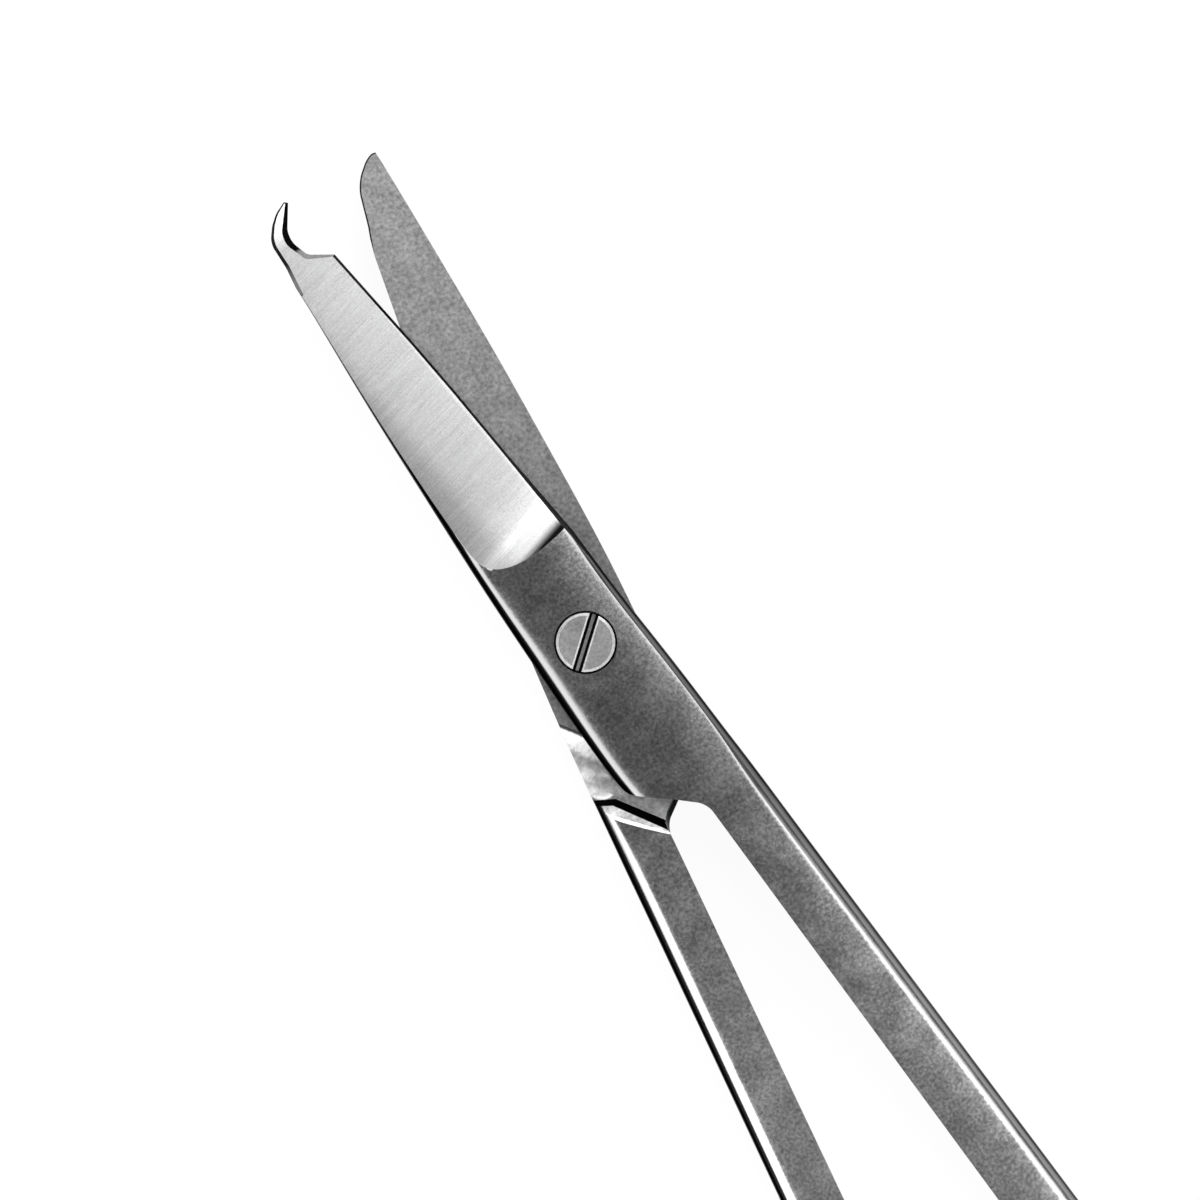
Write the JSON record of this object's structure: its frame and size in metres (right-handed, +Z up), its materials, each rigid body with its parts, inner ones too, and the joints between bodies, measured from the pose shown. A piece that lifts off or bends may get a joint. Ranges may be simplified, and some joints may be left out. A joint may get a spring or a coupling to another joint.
{
  "type": "suture scissors",
  "caption": "Straight stitch scissors with a hooked tip on the upper blade, a plain rounded lower blade, a slotted pivot screw and oval finger rings, lying slightly open.",
  "frame": {"origin": "on the pivot screw's axis, at the flat end of its tail, level with the surface that the scissors lie on", "axes": "+Z up along the pivot's axis, from the plain half's outer face to the hook half's, +Y towards the tips along the line midway between the two halves, +X towards the hook half's finger ring"},
  "size_m": [0.0556, 0.0886, 0.0032],
  "materials": {
    "hook_half_steel": "satin stainless steel, cross-brushed on the ground blade",
    "plain_half_steel": "satin stainless steel, matt on the lapped face",
    "screw_steel": "turned stainless steel, ground level with the joint"
  },
  "bodies": {
    "lower_half": {"plain_half": "plain_half_steel", "pivot_screw": "screw_steel"},
    "upper_half": {"hook_half": "hook_half_steel"}
  },
  "joints": [
    {"name": "pivot", "type": "hinge", "parent": "lower_half", "child": "upper_half", "pos_m": [0, 0, 0.0016], "axis": [0, 0, 1], "range_deg": [-10.9, 49]}
  ]
}
